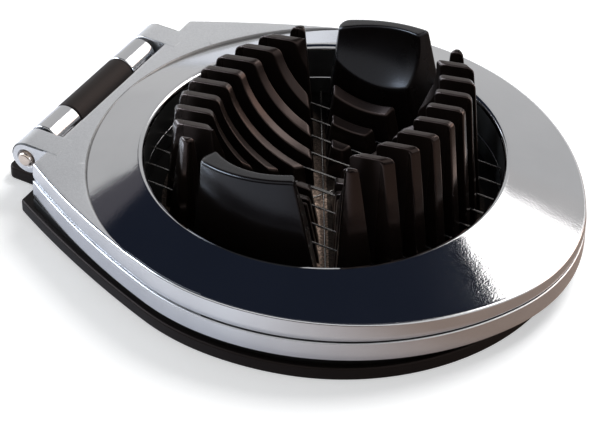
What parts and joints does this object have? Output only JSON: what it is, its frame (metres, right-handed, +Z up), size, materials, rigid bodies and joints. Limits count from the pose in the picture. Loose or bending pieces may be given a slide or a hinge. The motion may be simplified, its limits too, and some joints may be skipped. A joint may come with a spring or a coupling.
{
  "type": "egg slicer",
  "caption": "Table egg slicer: a black base with a finned, tilted egg cradle and two bright hinged wire frames, one cutting slices and the other wedges.",
  "frame": {"origin": "on the base's underside, straight below the centre of the round opening in both frames", "axes": "+X from the hinge towards the nose that is lifted, +Y along the hinge, +Z up from the table"},
  "size_m": [0.1178, 0.097, 0.0361],
  "materials": {
    "black_plastic": "moulded, fine semi-gloss grain",
    "chromed_metal": "polished ring, satin plate and walls",
    "wire_steel": "drawn bright wire",
    "pin_steel": "nickel, slightly warm"
  },
  "bodies": {
    "base": {"base_plate": "black_plastic", "hinge_pin": "pin_steel", "left_fins": "black_plastic", "right_fins": "black_plastic", "back_fins": "black_plastic", "front_fins": "black_plastic", "back_rest": "black_plastic", "front_rest": "black_plastic"},
    "wedge_frame": {"wedge_frame": "chromed_metal", "wedge_wire_1": "wire_steel", "wedge_wire_2": "wire_steel", "wedge_wire_3": "wire_steel", "wedge_wire_ferrules": "pin_steel"},
    "slicing_frame": {"slicing_frame": "chromed_metal", "slicing_wire_1": "wire_steel", "slicing_wire_2": "wire_steel", "slicing_wire_3": "wire_steel", "slicing_wire_4": "wire_steel", "slicing_wire_5": "wire_steel", "slicing_wire_6": "wire_steel", "slicing_wire_7": "wire_steel", "slicing_wire_8": "wire_steel", "slicing_wire_9": "wire_steel", "slicing_wire_ferrules": "pin_steel"}
  },
  "joints": [
    {"name": "wedge_frame_hinge", "type": "hinge", "parent": "base", "child": "wedge_frame", "pos_m": [-0.0556, 0, 0.0097], "axis": [0, -1, 0], "range_deg": [0, 90]},
    {"name": "slicing_frame_hinge", "type": "hinge", "parent": "wedge_frame", "child": "slicing_frame", "pos_m": [-0.0556, 0, 0.0097], "axis": [0, -1, 0], "range_deg": [0, 90]}
  ]
}
